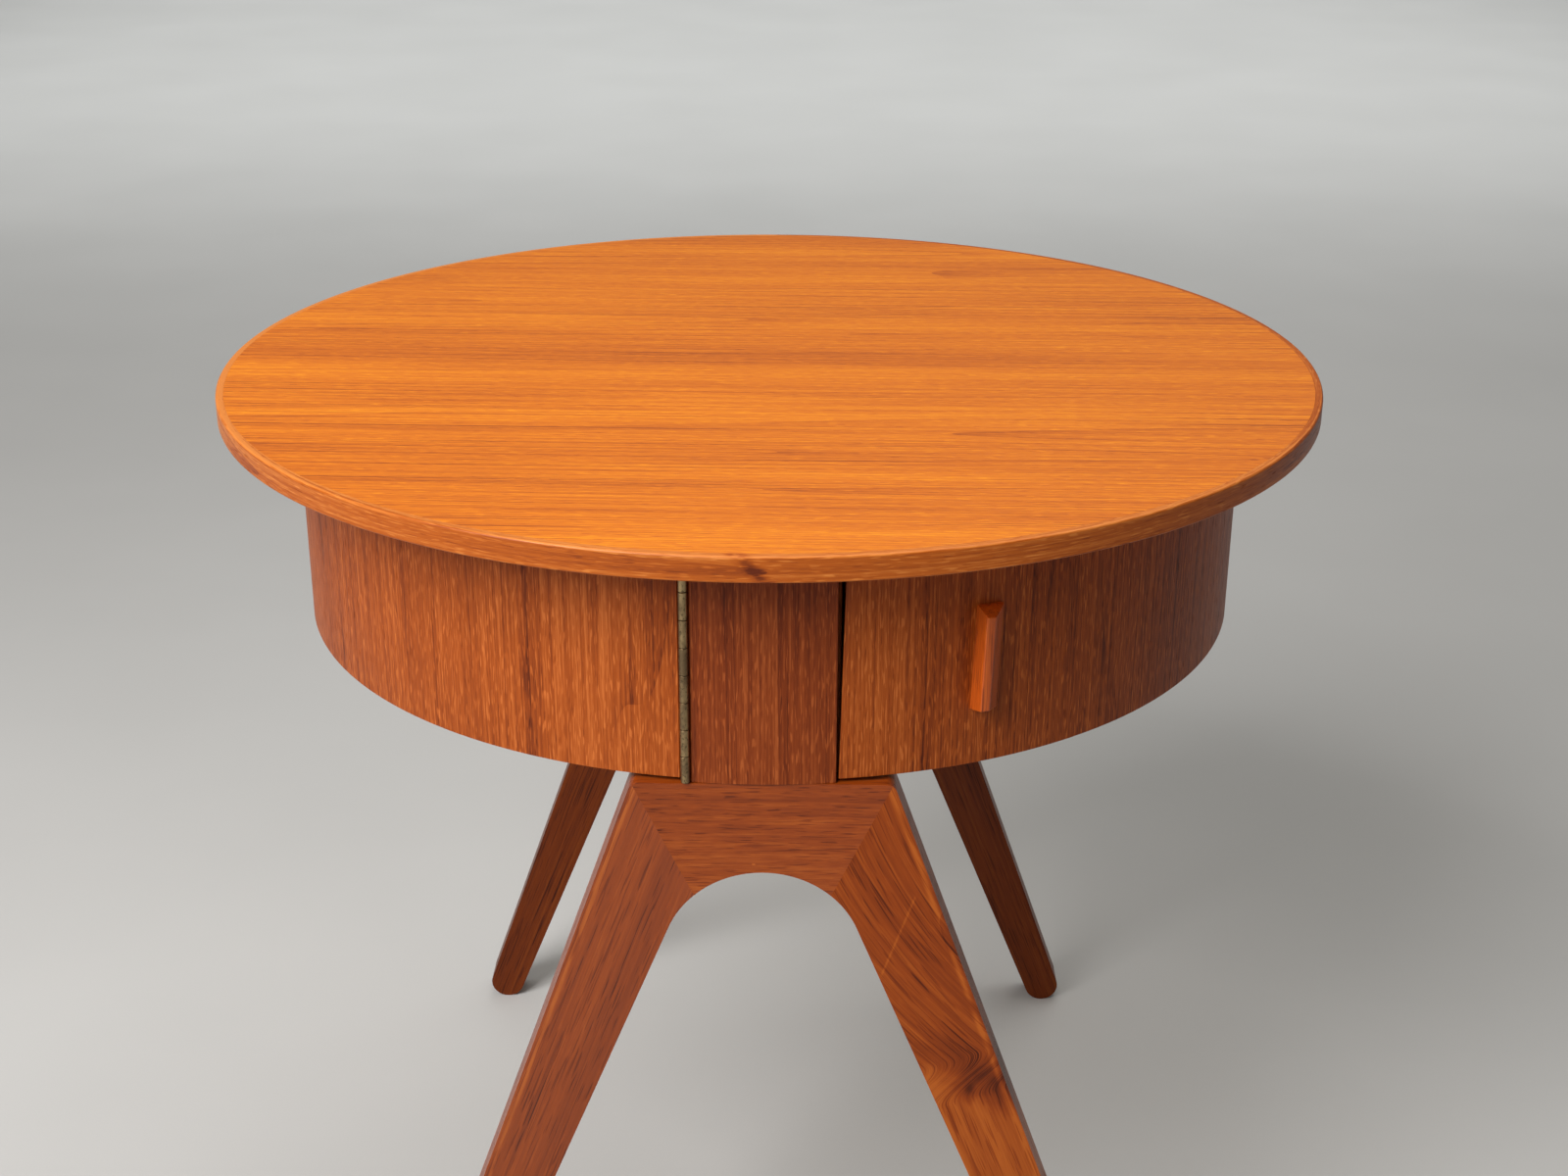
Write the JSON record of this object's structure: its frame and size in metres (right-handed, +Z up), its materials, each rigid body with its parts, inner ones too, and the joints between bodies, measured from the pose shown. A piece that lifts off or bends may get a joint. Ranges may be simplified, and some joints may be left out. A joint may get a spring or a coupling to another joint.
{
  "type": "sewing table",
  "caption": "Round wooden sewing table: a drum of half-round trays that swing out on piano hinges from a fixed spine, under a round top and on A-shaped leg frames.",
  "frame": {"origin": "on the floor, on the drum's axis", "axes": "+Z up along the drum's axis; the front of the table faces -Y, +X is to the right as seen from the front"},
  "size_m": [0.5799, 0.58, 0.55],
  "materials": {
    "top_veneer": "satin oiled teak veneer, grain across the table",
    "top_edging": "solid teak edging, rounded arrises",
    "drum_veneer": "satin teak veneer, upright grain",
    "tray_lining": "matt beech and birch plywood",
    "frame_teak": "satin solid teak",
    "handle_teak": "satin solid teak",
    "beech": "plain beech",
    "aged_brass": "dull aged brass",
    "steel": "bright zinc-plated steel"
  },
  "bodies": {
    "stand": {"tabletop": "top_veneer", "tabletop_edging": "top_edging", "tabletop_screws": "steel", "spine_left_side": "drum_veneer", "spine_right_side": "drum_veneer", "spine_base": "beech", "spine_top_rail": "beech", "front_panel": "drum_veneer", "rear_panel": "drum_veneer", "front_left_leg": "frame_teak", "front_right_leg": "frame_teak", "front_crosspiece": "frame_teak", "front_dowels": "beech", "front_frame_screws": "steel", "rear_left_leg": "frame_teak", "rear_right_leg": "frame_teak", "rear_crosspiece": "frame_teak", "rear_dowels": "beech", "rear_frame_screws": "steel", "left_fixed_leaf": "aged_brass", "left_hinge_pin": "steel", "left_fixed_leaf_screws": "aged_brass", "left_catch_magnet": "steel", "right_fixed_leaf": "aged_brass", "right_hinge_pin": "steel", "right_fixed_leaf_screws": "aged_brass", "right_catch_magnet": "steel"},
    "left_tray": {"left_tray_wall": "drum_veneer", "left_tray_side": "drum_veneer", "left_tray_bottom": "tray_lining", "left_front_divider": "tray_lining", "left_rear_divider": "tray_lining", "left_handle": "handle_teak", "left_handle_screws": "steel", "left_tray_leaf": "aged_brass", "left_tray_leaf_screws": "aged_brass", "left_catch_plate": "steel"},
    "right_tray": {"right_tray_wall": "drum_veneer", "right_tray_side": "drum_veneer", "right_tray_bottom": "tray_lining", "right_front_divider": "tray_lining", "right_rear_divider": "tray_lining", "right_long_divider": "tray_lining", "right_handle": "handle_teak", "right_handle_screws": "steel", "right_tray_leaf": "aged_brass", "right_tray_leaf_screws": "aged_brass", "right_catch_plate": "steel"}
  },
  "joints": [
    {"name": "left_tray_swing", "type": "hinge", "parent": "stand", "child": "left_tray", "pos_m": [-0.035, -0.24835, 0.48], "axis": [0, 0, 1], "range_deg": [0, 165]},
    {"name": "right_tray_swing", "type": "hinge", "parent": "stand", "child": "right_tray", "pos_m": [0.035, 0.24835, 0.48], "axis": [0, 0, 1], "range_deg": [0, 165]}
  ]
}
